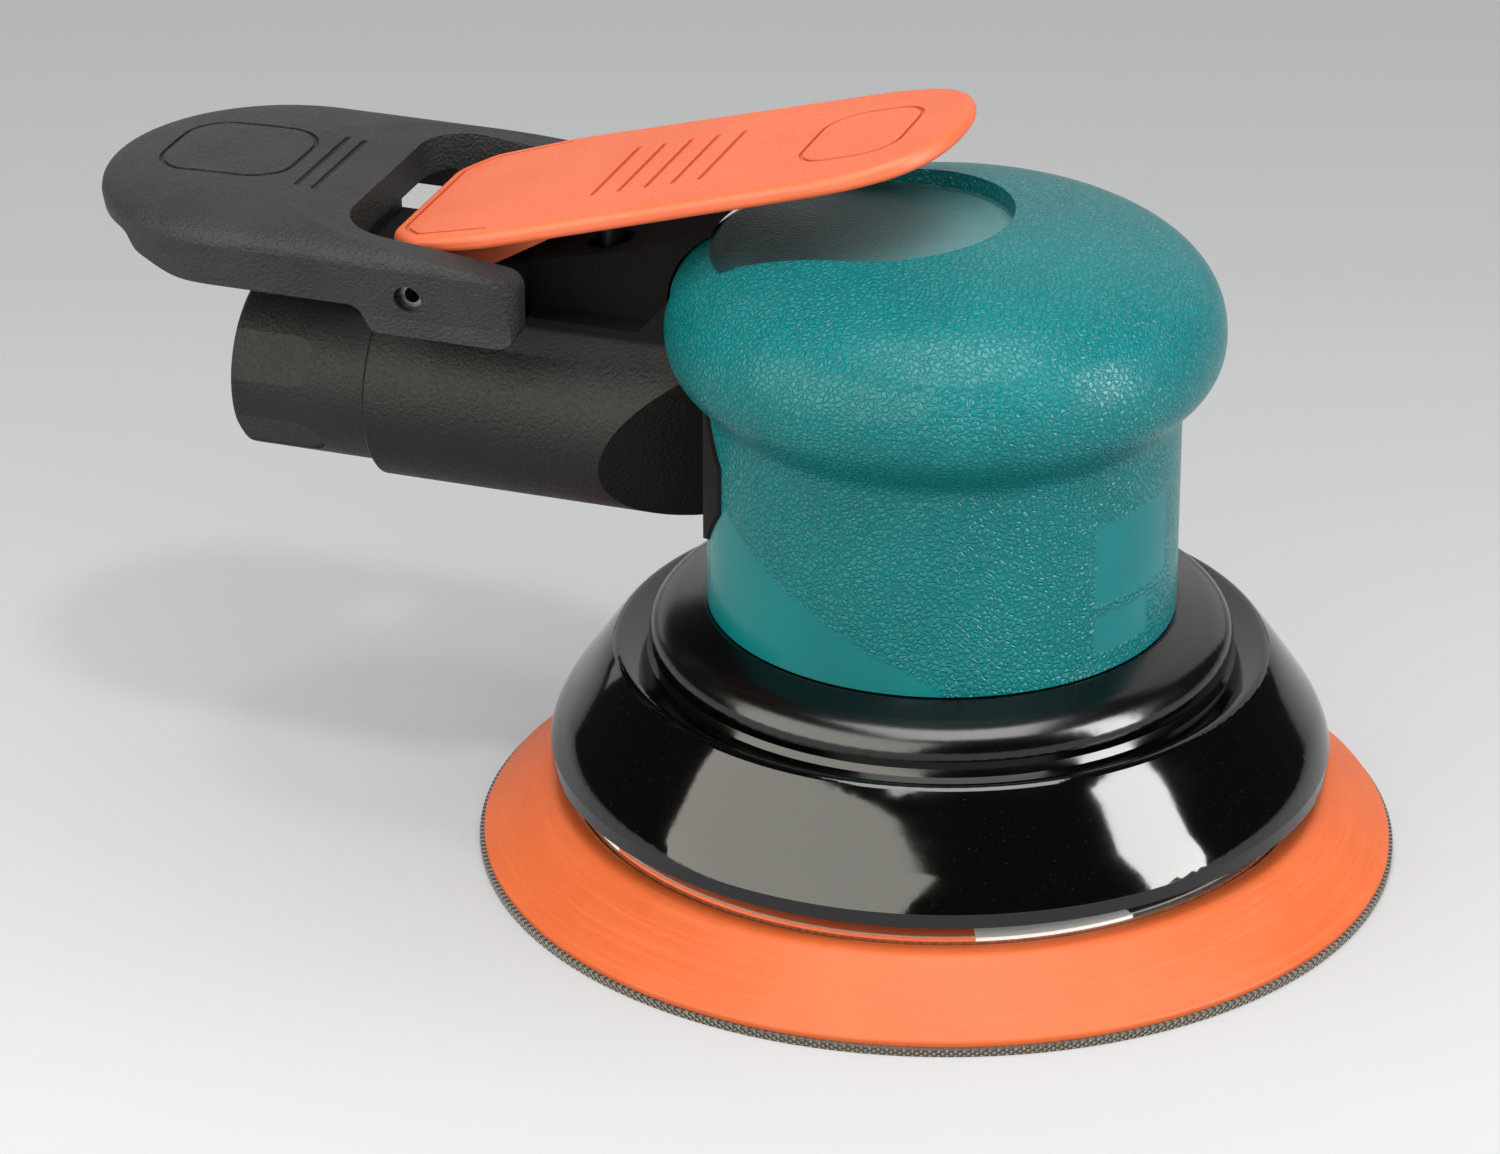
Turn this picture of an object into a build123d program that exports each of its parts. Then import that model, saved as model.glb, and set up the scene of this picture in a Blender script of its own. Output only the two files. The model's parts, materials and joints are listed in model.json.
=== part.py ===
"""Pneumatic random orbit sander with a lever throttle, for a 127 mm pad.

Millimetres. +Z is up, the handle runs along -X, and the tool is symmetric about the XZ plane apart from the
pad's orbit. The origin is on the motor's axis, at the pad's working face.
"""
from build123d import *
from math import cos, radians, sin, tan
import os

# Fits
RUN = 0.05  # radial clearance of anything that turns or slides
SEAT = 0.02  # clearance of pieces that are fixed in one another

# Pad
PAD_R = 63.5
PAD_TOP_R = 54.0
PAD_TOP_Z = 9.8
HOOK_T = 1.0
PLATE_R = 50.5
PLATE_Z = 7.3
LABEL_T = 0.5
ORBIT = 1.2  # throw of the balancer, so the orbit is 2.4 mm across
STUD_R = 3.95

# Motor head
HEAD_R = 29.7
SKIRT_R = 32.2
SKIRT_Z = 36.2
CREASE_Z = 68.0
DOME_R = 37.9
DOME_MID_Z = 75.9
DOME_TOP_Z = 92.5
DOME_FULLNESS = 0.66  # 0.55 would make the head a plain ellipse
COVER_T = 2.5
POCKET_X = -8.4
POCKET_R = 17.2
POCKET_END_X = -33.5
POCKET_FLOOR_Z = 89.2
POCKET_SLOPE = 3.3
HEAD_FLOOR_Z = 30.0
CAVITY_R = 26.5
CAVITY_TOP_Z = 74.0

# Shroud
SHROUD_T = 2.0
SHROUD_LIP_R = 53.9
SHROUD_LIP_Z = 13.2
SHROUD_RIDGE_R = 45.2
SHROUD_RIDGE_Z = 28.9
SHROUD_RING_R = 40.2
SHROUD_RING_Z = 30.6

# Handle
TUBE_R = 14.2
TUBE_Z = 57.5
TUBE_END_X = -79.8
CAP_R = 12.5
CAP_END_X = -100.2
CAP_FLAT_DEPTH = 0.6
CAP_FLAT_END_X = -87.5
NECK_POINT = Vector(-42.7, -14.1, 59.3)
NECK_NORMAL = Vector(0.563, -0.771, -0.292)
SPINE_HALF = 5.6
COLLAR_R = 32.7
BUSH_R = 7.5
INLET_R = 5.75
INLET_DEPTH = 14.0
INLET_X = -99.7

# Wrist rest
REST_HALF = 24.6
REST_TIP_X = -121.6
REST_TOP_Z = 88.0
REST_SKIRT_Z = 77.6
REST_TONGUE_Z = 82.0
REST_PLATE_T = 6.4
REST_WALL = 4.6
MARK_DEPTH = 0.35  # of the plain grooves moulded into the rest and the lever
EAR_X = (-73.8, -53.0)
EAR_Z = 73.9
EAR_TOP_Z = 84.2
SLOT_HALF = 19.5
SLOT_END_X = -80.8
BRACKET_HALF = 7.0
BRACKET_TOP_Z = 79.4
REST_SCREW_X = (-90.0, -85.0)

# Lever and its pin
PIN_X = -68.3
PIN_Z = 79.6
PIN_R = 1.75
LEVER_TILT = 16.0
LEVER_TOP_AT_ORIGIN = 105.6  # height of the lever's top plane over the motor's axis
LEVER_T = 2.5
LEVER_HALF = 17.8

# Valve
VALVE_X = -48.0
VALVE_BORE_R = 5.0
STEM_R = 1.8
BOSS_TOP_Z = 81.0  # mouth of the stem's bore, in the spine over the handle
REGULATOR_X = -57.0
REGULATOR_R = 4.0
PASSAGE_Z = 54.0

# Motor
SHAFT_R = 5.0
SHAFT_TOP_R = 4.0
CYLINDER_Z = (44.0, 64.0)
CYLINDER_BORE_R = 21.4
CYLINDER_OFFSET = 1.9
ROTOR_R = 19.0
BLADES = 5

# Ball bearings: outer radius, bore radius, lowest z, width
LOWER_BEARING = (14.0, SHAFT_R, 34.4, 8.0)
UPPER_BEARING = (11.0, SHAFT_TOP_R, 66.2, 7.0)
PAD_BEARING = (14.0, 6.0, 19.0, 8.0)


def tube(outer, inner, z0, z1, x=0, y=0):
    ring = Cylinder(outer, z1 - z0) - Cylinder(inner, z1 - z0)
    return Pos(x, y, (z0 + z1) / 2) * ring


def rod(radius, z0, z1, x=0, y=0):
    return Pos(x, y, (z0 + z1) / 2) * Cylinder(radius, z1 - z0)


def rod_x(radius, x0, x1, y=0, z=TUBE_Z):
    return Pos((x0 + x1) / 2, y, z) * Rot(0, 90, 0) * Cylinder(radius, x1 - x0)


def rod_y(radius, y0, y1, x, z):
    return Pos(x, (y0 + y1) / 2, z) * Rot(90, 0, 0) * Cylinder(radius, y1 - y0)


def block(x0, x1, y0, y1, z0, z1):
    size = Box(x1 - x0, y1 - y0, z1 - z0)
    return Pos((x0 + x1) / 2, (y0 + y1) / 2, (z0 + z1) / 2) * size


def save(node, *shapes):
    solids = [solid for shape in shapes for solid in shape.solids()]
    export_step(solids[0] if len(solids) == 1 else Compound(solids), f"parts/{node}.step")


# ---- pad -------------------------------------------------------------------


def on_pad(shape):
    return Pos(0, -ORBIT, 0) * shape


def hook_face():
    return on_pad(rod(PAD_R, 0, HOOK_T))


def pad_foam():
    slope = (PAD_R - PAD_TOP_R) / (PAD_TOP_Z - HOOK_T)
    cone = Cone(PAD_R, PAD_TOP_R, PAD_TOP_Z - HOOK_T)
    body = Pos(0, 0, (HOOK_T + PAD_TOP_Z) / 2) * cone
    body = fillet(body.edges().group_by(Axis.Z)[-1], slope)
    return on_pad(body - rod(PLATE_R + SEAT, PLATE_Z, PAD_TOP_Z + 1))


def pad_plate():
    plate = rod(PLATE_R, PLATE_Z + SEAT, PAD_TOP_Z)
    return on_pad(plate - rod(12.0, PLATE_Z, 9.0) - rod(STUD_R + SEAT, PLATE_Z, PAD_TOP_Z + 1))


def pad_label():
    return on_pad(tube(PLATE_R - 0.3, 20.0, PAD_TOP_Z, PAD_TOP_Z + LABEL_T))


def pad_stud():
    flange = rod(12.0 - SEAT, PLATE_Z + SEAT, 9.0 - SEAT)
    stud = rod(STUD_R, 9.0 - SEAT, 22.0)
    return on_pad(flange + chamfer(stud.edges().group_by(Axis.Z)[-1], 0.8))


def pad_spindle():
    outer, bore, z0, width = PAD_BEARING
    flange = rod(13.0, 10.2, 14.4)
    for side in (-1, 1):
        flange -= block(-15, 15, side * 14 - 2.5, side * 14 + 2.5, 9, 15)
    body = flange + rod(bore + 1.6, 14.4, z0) + rod(bore - SEAT, z0, z0 + width + 1.6)
    body -= tube(bore + 1, bore - 0.8, z0 + width + 0.1, z0 + width + 1.0)
    body -= rod(STUD_R + SEAT, 9, 24)
    return on_pad(body)


# ---- ball bearings ---------------------------------------------------------


def bearing(outer, bore, z0, width):
    """Outer ring, inner ring and balls, each with running clearance to the next."""
    pitch = (outer + bore) / 2
    ball = 0.29 * (outer - bore)
    mid = z0 + width / 2
    track = Pos(0, 0, mid) * Torus(pitch, ball + RUN)
    outer_ring = tube(outer, pitch + 0.45 * ball, z0, z0 + width) - track
    inner_ring = tube(pitch - 0.45 * ball, bore, z0, z0 + width) - track
    count = int(3.1416 * pitch / ball * 0.75)
    turns = [Rot(0, 0, 360 * i / count) for i in range(count)]
    balls = [Pos(0, 0, mid) * turn * Pos(pitch, 0, 0) * Sphere(ball) for turn in turns]
    return outer_ring, inner_ring, balls


# ---- balancer and rotor ----------------------------------------------------


def balancer_shaft():
    pad_outer, _, pad_z, pad_width = PAD_BEARING
    cup = on_pad(rod(pad_outer + 3.0, pad_z - 3.0, pad_z + pad_width + 3.2))
    cup -= on_pad(rod(pad_outer + SEAT, pad_z - 4.0, pad_z + pad_width))
    cup -= on_pad(rod(8.5, pad_z - 4.0, pad_z + pad_width + 1.9))
    cup -= on_pad(tube(pad_outer + 0.9, pad_outer - 1, pad_z - 1.5, pad_z - 0.5))
    weight = rod(27.0, pad_z - 1.0, pad_z + 10.0) - on_pad(rod(pad_outer + 1.5, pad_z - 4, pad_z + 12))
    weight = weight & block(-30, 30, 4.0, 30, 0, 40)
    hub = rod(8.0, pad_z + pad_width + 2.6, LOWER_BEARING[2])
    shaft = rod(SHAFT_R - SEAT, LOWER_BEARING[2], CYLINDER_Z[1] - 0.2)
    top = rod(SHAFT_TOP_R - SEAT, CYLINDER_Z[1] - 0.2, UPPER_BEARING[2] + UPPER_BEARING[3] + 0.6)
    keyway = block(SHAFT_R - 1.2, SHAFT_R + 2, -1.25, 1.25, 50, 58)
    return cup + weight + hub + shaft + top - keyway


def rotor():
    z0, z1 = CYLINDER_Z[0] + 0.15, CYLINDER_Z[1] - 0.15
    body = tube(ROTOR_R, SHAFT_R, z0, z1)
    body -= block(0, SHAFT_R + 1.2, -1.25, 1.25, z0 - 1, z1 + 1)
    for turn in blade_turns():
        body -= turn * block(ROTOR_R - 9.0, ROTOR_R + 1, -0.9, 0.9, z0 - 1, z1 + 1)
    return body


def blade_turns():
    return [Rot(0, 0, 36 + 360 * i / BLADES) for i in range(BLADES)]


def rotor_blades():
    z0, z1 = CYLINDER_Z[0] + 0.2, CYLINDER_Z[1] - 0.2
    blade = block(ROTOR_R - 8.5, ROTOR_R - 0.1, -0.85, 0.85, z0, z1)
    return [turn * blade for turn in blade_turns()]


def rotor_key():
    return block(SHAFT_R - 1.15, SHAFT_R + 1.15, -1.2, 1.2, 50.05, 57.95)


def dust_shield():
    return tube(19.0, 8.0, 31.2, 32.4)


def bearing_clip():
    """Snap ring under the pad bearing, in the balancer's groove."""
    pad_outer, _, pad_z, _ = PAD_BEARING
    ring = tube(pad_outer + 0.8, pad_outer - 2.2, pad_z - 1.4, pad_z - 0.6)
    return on_pad(ring - block(-1.5, 1.5, 10, 20, 10, 20))


def spindle_clip():
    """Snap ring over the pad bearing, in the spindle's groove."""
    _, bore, pad_z, width = PAD_BEARING
    z0 = pad_z + width + 0.15
    return on_pad(tube(bore + 1.3, bore - 0.75, z0, z0 + 0.8) - block(-1.2, 1.2, 2, 10, 20, 32))


# ---- motor casing ----------------------------------------------------------


def dome_outline(inset):
    """Half section of the head from its crease to its top, moved in by inset."""
    skirt_r = SKIRT_R - inset
    dome_r = DOME_R - inset
    top_z = DOME_TOP_Z - inset
    low = (skirt_r, CREASE_Z - 3.4)
    mid = (dome_r, DOME_MID_Z)
    flank = Bezier(low, (skirt_r, CREASE_Z + 0.6), (dome_r, CREASE_Z + 1.0), mid)
    shoulder = (dome_r, DOME_MID_Z + DOME_FULLNESS * (top_z - DOME_MID_Z))
    cap = Bezier(mid, shoulder, (DOME_FULLNESS * dome_r, top_z), (0, top_z))
    return flank, cap


def head_solid(inset, floor_z):
    flank, cap = dome_outline(inset)
    radius = SKIRT_R - inset
    lines = [
        flank,
        cap,
        Line((0, DOME_TOP_Z - inset), (0, floor_z)),
        Line((0, floor_z), (radius, floor_z)),
        Line((radius, floor_z), (radius, CREASE_Z - 3.4)),
    ]
    return revolve(Plane.XZ * make_face(lines), Axis.Z)


def neck_cutter(side):
    """The flat that thins the neck towards the head, on one side."""
    point = Vector(NECK_POINT.X, side * -NECK_POINT.Y, NECK_POINT.Z)
    normal = Vector(NECK_NORMAL.X, side * -NECK_NORMAL.Y, NECK_NORMAL.Z)
    return Plane(point, z_dir=normal) * Pos(0, 0, 20) * Box(60, 60, 40)


def handle_tube():
    body = rod_x(TUBE_R, TUBE_END_X, 0)
    body = chamfer(body.edges().group_by(Axis.X)[0], 0.5)
    deck = [(-60, TUBE_Z), (-60, 70), (-56, 73.2), (-40.4, 73.2), (-34.2, 79.8), (-25, 79.8), (-25, TUBE_Z)]
    body += extrude(Plane.XZ * make_face(Polyline(*deck, close=True)), 10.0, both=True)
    body = body - neck_cutter(-1) - neck_cutter(1)
    outline = [(-60, 70), (-60, 79.4), (-50, 81.5), (-42, 83.3), (-33.6, 86.7), (-31, 86.7), (-31, 81),
               (-38.6, 70)]
    spine = extrude(Plane.XZ * make_face(Polyline(*outline, close=True)), SPINE_HALF, both=True)
    return body + (spine - head_solid(-0.4, 60))


def neck_collar():
    """Where the handle leaves the head: it fills the cover's opening and stands just proud of it."""
    return rod(COLLAR_R, 40, CREASE_Z - 1) & grip_opening(-0.05)


def rest_bracket():
    """Rib on top of the handle that carries the wrist rest and the lever's pin."""
    rib = block(-92.0, -58.0, -BRACKET_HALF, BRACKET_HALF, 70.4, BRACKET_TOP_Z)
    rib += block(TUBE_END_X, -58.0, -BRACKET_HALF, BRACKET_HALF, TUBE_Z, 71.0)
    rib += rod_y(3.3, -8.6, 8.6, PIN_X, PIN_Z)
    rib += block(PIN_X - 3.3, PIN_X + 3.3, -8.6, 8.6, 71.0, PIN_Z)
    return rib


def motor_housing():
    body = head_core(COVER_T, HEAD_FLOOR_Z) + neck_collar() + handle_tube()
    body += rest_bracket()
    for x in REST_SCREW_X:
        body -= rod(1.2, 73.0, BRACKET_TOP_Z + 1, x) + rod(2.3, 70.0, 73.5, x)
    body -= rod(CAVITY_R, HEAD_FLOOR_Z - 1, CAVITY_TOP_Z)
    body -= rod_x(11.0, TUBE_END_X - 1, -70.0)
    body -= rod_x(BUSH_R + SEAT, -71.0, -62.0)
    body -= rod_x(3.0, -63.0, VALVE_X, z=PASSAGE_Z)
    body -= rod(VALVE_BORE_R + SEAT, 48.0, 63.5, VALVE_X)
    body -= rod(STEM_R + RUN, 63.0, BOSS_TOP_Z + 1, VALVE_X)
    body -= rod(3.3, BOSS_TOP_Z - 3.0, BOSS_TOP_Z + 5, VALVE_X)
    body -= rod_x(2.6, VALVE_X, -20.0, z=61.0)
    body -= rod(REGULATOR_R + RUN, 40.0, 58.6, REGULATOR_X)
    body -= tube(REGULATOR_R + 1.2, REGULATOR_R, 46.0, 47.6, REGULATOR_X)
    for side in (-1, 1):
        body -= rod_x(2.2, -72.0, -20.0, y=side * 5.0, z=66.8)
    body -= rod_y(PIN_R + SEAT, -20, 20, PIN_X, PIN_Z)
    body -= rod(1.05, 72.0, 78.0, 22.0)
    return body


def grip_opening(grow):
    """The handle's way out through the grip cover, as a solid to cut with, made larger all round by grow."""
    outline = [(-8.0, 43.0), (-15.5, 46.6), (-20.8, 53.2), (-20.8, 60.0), (-13.6, 67.6), (-13.0, 80.5)]
    outline += [(-y, z) for y, z in reversed(outline)]
    face = make_face(Polyline(*outline, close=True))
    if grow:
        face = offset(face, grow, kind=Kind.INTERSECTION)
    return Plane.YZ * Pos(0, 0, -30) * extrude(face, 40, both=True) & block(-60, -12, -40, 40, 20, 100)


def thumb_pocket(grow):
    """The hollow in the crown that the pressed lever drops into, made larger all round by grow."""
    radius = POCKET_R + grow
    lane = block(POCKET_END_X - grow, POCKET_X, -radius, radius, 60, 110)
    lane = fillet(lane.edges().filter_by(Axis.Z).group_by(Axis.X)[0], 12.0)
    plan = rod(radius, 60, 110, POCKET_X) + lane
    floor_edge = Pos(POCKET_X + POCKET_R, 0, POCKET_FLOOR_Z - grow) * Rot(0, -POCKET_SLOPE, 0)
    floor = floor_edge * Pos(-40, 0, 20) * Box(120, 80, 40)
    return plan & floor


def head_core(inset, floor_z):
    """What the grip cover fits over, with a seat that follows the thumb pocket."""
    return head_solid(inset, floor_z) - thumb_pocket(inset)


def grip_cover():
    body = head_solid(0, SKIRT_Z) - head_core(COVER_T - SEAT, SKIRT_Z - 5)
    return body - grip_opening(0.0) - thumb_pocket(0)


def end_plate(z0, z1, bearing_size, opening):
    outer, _, bearing_z, width = bearing_size
    plate = rod(CAVITY_R - SEAT, z0, z1)
    plate -= rod(outer + SEAT, bearing_z, bearing_z + width)
    return plate - rod(opening, z0 - 1, z1 + 1)


def lower_end_plate():
    plate = end_plate(34.0, CYLINDER_Z[0], LOWER_BEARING, 8.6)
    return plate - rod(LOWER_BEARING[0] + SEAT, 33.0, 36.0) - rod(1.05, 40, 46, 22.0)


def upper_end_plate():
    plate = end_plate(CYLINDER_Z[1], CAVITY_TOP_Z - SEAT, UPPER_BEARING, 6.0)
    plate -= rod(UPPER_BEARING[0] + SEAT, UPPER_BEARING[2], CAVITY_TOP_Z + 1)
    return plate - rod(1.05, 60, 80, 22.0)


def cylinder():
    z0, z1 = CYLINDER_Z
    body = rod(CAVITY_R - SEAT, z0 + SEAT, z1 - SEAT)
    body -= rod(CYLINDER_BORE_R, z0 - 1, z1 + 1, CYLINDER_OFFSET)
    body -= rod_x(2.2, -30, -10, z=61.0)
    for z in (48, 52, 56):
        body -= rod_y(1.6, 15, 30, 6, z)
    return body - rod(1.05, 40, 70, 24.9)


def locating_pin():
    return rod(1.0, 65.0, 77.0, 22.0)


def lock_ring():
    ring = tube(CAVITY_R - SEAT, 19.8, HEAD_FLOOR_Z + 0.2, 33.9)
    for turn in range(4):
        ring -= Rot(0, 0, 45 + 90 * turn) * rod(1.2, 29, 32, 23.2)
    return ring


# ---- shroud ----------------------------------------------------------------


def shroud():
    """One thin moulding: collar, rounded ring, ledge and flared skirt."""
    top_r, top_z = SKIRT_R + 0.6, SKIRT_Z - 0.2
    ridge = (SHROUD_RIDGE_R, SHROUD_RIDGE_Z)
    ring_in = SHROUD_RING_R - SHROUD_T
    lip_in = SHROUD_LIP_R - SHROUD_T
    collar = HEAD_R + SEAT
    lines = [
        Line((collar, top_z), (top_r, top_z)),
        Line((top_r, top_z), (36.6, 35.0)),
        Spline((36.6, 35.0), (39.3, 33.4), (SHROUD_RING_R, SHROUD_RING_Z), tangents=[(1, -0.27), (0, -1)]),
        Line((SHROUD_RING_R, SHROUD_RING_Z), (39.9, 29.4)),
        Line((39.9, 29.4), (40.5, 28.5)),
        Line((40.5, 28.5), (43.6, 29.2)),
        Spline((43.6, 29.2), (44.6, 29.3), ridge, tangents=[(1, 0.2), (0.6, -0.7)]),
        Spline(ridge, (50.3, 21.9), (SHROUD_LIP_R, 15.2), tangents=[(0.6, -0.7), (0.25, -1)]),
        Line((SHROUD_LIP_R, 15.2), (SHROUD_LIP_R, SHROUD_LIP_Z)),
        Line((SHROUD_LIP_R, SHROUD_LIP_Z), (lip_in, SHROUD_LIP_Z)),
        Line((lip_in, SHROUD_LIP_Z), (lip_in, 15.0)),
        Spline((lip_in, 15.0), (48.4, 21.1), (43.6, 26.9), tangents=[(-0.25, 1), (-0.6, 0.7)]),
        Line((43.6, 26.9), (37.9, 26.4)),
        Line((37.9, 26.4), (ring_in, SHROUD_RING_Z)),
        Line((ring_in, SHROUD_RING_Z), (36.0, 33.0)),
        Line((36.0, 33.0), (32.4, 33.6)),
        Line((32.4, 33.6), (31.7, 30.2)),
        Line((31.7, 30.2), (collar, 30.2)),
        Line((collar, 30.2), (collar, top_z)),
    ]
    return revolve(Plane.XZ * make_face(lines), Axis.Z)


# ---- handle end ------------------------------------------------------------


def muffler_cap():
    body = rod_x(CAP_R, CAP_END_X, TUBE_END_X - SEAT)
    body = fillet(body.edges().group_by(Axis.X)[0], 0.8)
    body += rod_x(10.95, TUBE_END_X - SEAT, -74.0)
    body -= rod_x(9.5, CAP_END_X + 3.0, -73.0)
    body -= rod_x(BUSH_R + 0.1, CAP_END_X - 1, CAP_END_X + 4.0)
    flat = block(CAP_END_X - 2, CAP_FLAT_END_X - 3.5, -3.6, 3.6, CAP_R - CAP_FLAT_DEPTH, CAP_R + 2)
    flat += Pos(CAP_FLAT_END_X - 3.5, 0, CAP_R + 1 - CAP_FLAT_DEPTH / 2) * Cylinder(3.6, 2 + CAP_FLAT_DEPTH)
    for i in range(6):
        body -= Pos(0, 0, TUBE_Z) * Rot(8 + 60 * i, 0, 0) * flat
    for i in range(12):
        turn = radians(30 * i)
        body -= rod_x(0.55, CAP_END_X - 1, CAP_END_X + 4.0, 8.75 * cos(turn), TUBE_Z + 8.75 * sin(turn))
    return body


def silencer():
    x0 = CAP_END_X + 3.1
    return rod_x(9.4, x0, x0 + 14.0) - rod_x(BUSH_R + 0.1, x0 - 1, x0 + 15.0)


def inlet_bushing():
    body = rod_x(BUSH_R, INLET_X, -62.1)
    body -= rod_x(INLET_R, INLET_X - 1, INLET_X + INLET_DEPTH)
    body -= rod_x(5.4, INLET_X + INLET_DEPTH - 1, INLET_X + INLET_DEPTH + 1.3)
    return body - rod_x(3.9, INLET_X + INLET_DEPTH, -60.0)


def inlet_screen():
    x0 = INLET_X + INLET_DEPTH + 0.1
    disc = rod_x(5.35, x0, x0 + 1.0)
    for iy in range(-2, 3):
        for iz in range(-2, 3):
            if iy * iy + iz * iz < 8:
                disc -= rod_x(0.55, x0 - 1, x0 + 2, iy * 1.7, TUBE_Z + iz * 1.7)
    return disc


# ---- wrist rest ------------------------------------------------------------


def rest_half_section():
    """Half of the cross-section over the rest: gently crowned top, rounded over to a drafted side."""
    top = (0, REST_TOP_Z + 0.2)
    edge = (22.0, REST_TOP_Z - 1.4)
    widest = (REST_HALF, 83.8)
    skirt = (REST_HALF - 1.3, REST_SKIRT_Z - 1.2)
    foot = (REST_HALF - 1.4, 60.0)
    crown = Bezier(top, (14.0, REST_TOP_Z + 0.2), (20.0, REST_TOP_Z - 0.7), edge)
    shoulder = Bezier(edge, (23.8, REST_TOP_Z - 2.03), (REST_HALF, REST_TOP_Z - 2.7), widest)
    return make_face([crown, shoulder, Polyline(widest, skirt, foot, (0, 60.0), top)])


def rest_envelope():
    """The section drawn along the handle, with the same section turned about the tongue's centre."""
    half = rest_half_section()
    centre_x = REST_TIP_X + REST_HALF
    length = EAR_X[1] - centre_x
    straight = extrude(Plane.YZ * (half + mirror(half, Plane.YZ)), length)
    nose = revolve(Plane.XZ * half, Axis.Z)
    return Pos(centre_x, 0, 0) * (straight + nose)


def rest_side():
    """Side view of the rest: level skirts, raised tongue, ears that hang lower."""
    tip_x = REST_TIP_X - 3.0
    step = [(-113.2, REST_TONGUE_Z), (-109.2, 79.3), (-100.5, REST_SKIRT_Z)]
    top = [(EAR_X[1], EAR_TOP_Z), (-82.0, REST_TOP_Z - 0.9), (-103.0, REST_TOP_Z + 0.6)]
    lines = [
        Line((tip_x, REST_TONGUE_Z), step[0]),
        Bezier(step[0], (-110.8, REST_TONGUE_Z), (-111.4, 79.7), step[1]),
        Bezier(step[1], (-106.0, 78.7), (-104.5, REST_SKIRT_Z), step[2]),
        Line(step[2], (EAR_X[0] - 2.2, REST_SKIRT_Z)),
        Line((EAR_X[0] - 2.2, REST_SKIRT_Z), (EAR_X[0], EAR_Z)),
        Line((EAR_X[0], EAR_Z), (EAR_X[1], EAR_Z)),
        Line((EAR_X[1], EAR_Z), (EAR_X[1], EAR_TOP_Z)),
        Spline(*top),
        Polyline(top[-1], (tip_x, REST_TOP_Z + 0.6), (tip_x, REST_TONGUE_Z)),
    ]
    face = make_face(lines)
    rounds = [(EAR_X[1], EAR_Z, 3.0), (EAR_X[1], EAR_TOP_Z, 2.5), (EAR_X[0], EAR_Z, 1.0)]
    rounds.append((EAR_X[0] - 2.2, REST_SKIRT_Z, 2.5))
    for x, z, radius in rounds:
        corner = face.vertices().sort_by_distance((x, z, 0))[0]
        face = fillet(corner, radius)
    return extrude(Plane.XZ * face, REST_HALF + 1, both=True)


def rest_slot():
    slot = block(SLOT_END_X, -50, -SLOT_HALF, SLOT_HALF, 60, 100)
    return fillet(slot.edges().filter_by(Axis.Z).group_by(Axis.X)[0], 7.5)


def rest_hollow():
    """The space under the plate, inside the skirts, with a rib left to stand on the bracket."""
    half = REST_HALF - REST_WALL
    roof = REST_TOP_Z - REST_PLATE_T
    centre_x = REST_TIP_X + REST_HALF
    hollow = rod(half, 60, roof, centre_x) + block(centre_x, SLOT_END_X + 3, -half, half, 60, roof)
    rib = block(-93.0, SLOT_END_X - 0.5, -BRACKET_HALF + 1, BRACKET_HALF - 1, BRACKET_TOP_Z + SEAT, 90)
    return hollow - rib


def rest_plan():
    """The rest's outline from above, which rounds the outer corners of the ears."""
    plan = block(REST_TIP_X - 5, EAR_X[1], -REST_HALF, REST_HALF, 60, 100)
    return fillet(plan.edges().filter_by(Axis.Z).group_by(Axis.X)[-1], 3.2)


def rest_marks(shape):
    """Shallow grooves in the rest's top: a rounded frame and two bars."""
    ring = RectangleRounded(20, 19, 6) - RectangleRounded(18.6, 17.6, 5.3)
    pattern = Pos(-103, 0) * ring
    for x in (-90.5, -88.0):
        pattern += Pos(x, 0) * RectangleRounded(0.8, 19, 0.39)
    return extrude(Pos(0, 0, 84) * pattern, 8) & (shape - Pos(0, 0, -MARK_DEPTH) * shape)


def wrist_rest():
    shape = rest_envelope() & rest_side()
    body = (shape & rest_plan()) - rest_slot() - rest_hollow() - rest_marks(shape)
    for side in (-1, 1):
        body -= rod_y(PIN_R + SEAT, side * 22 - 10, side * 22 + 10, PIN_X, PIN_Z)
        body -= rod_y(PIN_R + 0.25, side * 26 - 3.6, side * 26 + 3.6, PIN_X, PIN_Z)
    for x in REST_SCREW_X:
        body -= rod(1.05, BRACKET_TOP_Z - 1, REST_TOP_Z - 2.5, x)
    return body


def rest_screws():
    """Two screws up through the bracket into the rest, heads in its underside."""
    screws = []
    for x in REST_SCREW_X:
        screws.append(rod(1.0, 73.2, REST_TOP_Z - 3.0, x) + rod(2.1, 71.6, 73.4, x))
    return screws


# ---- lever -----------------------------------------------------------------


def lever_plane():
    """Frame of the lever's top face: x up its slope, z out of it, over the pin."""
    top_z = LEVER_TOP_AT_ORIGIN + PIN_X * tan(radians(LEVER_TILT))
    return Pos(PIN_X, 0, top_z) * Rot(0, -LEVER_TILT, 0)


def lever_outline():
    """Plan of the lever on its own slope, from its square rear end to its long round tip."""
    rear, tip = -7.6, 73.1
    half = LEVER_HALF
    upper = [
        Line((rear, 12.0), (rear + 4.4, half - 0.9)),
        Line((rear + 4.4, half - 0.9), (9.0, half + 1.0)),
        Line((9.0, half + 1.0), (52.0, half)),
        Bezier((52.0, half), (66.0, half), (tip, 14.0), (tip, 0)),
    ]
    face = make_face([*upper, Line((tip, 0), (rear, 0)), Line((rear, 0), (rear, 12.0))])
    for x, y, radius in ((rear, 12.0, 5.0), (rear + 4.4, half - 0.9, 4.0), (9.0, half + 1.0, 12.0)):
        face = fillet(face.vertices().sort_by_distance((x, y, 0))[0], radius)
    return face + mirror(face, Plane.XZ)


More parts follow.
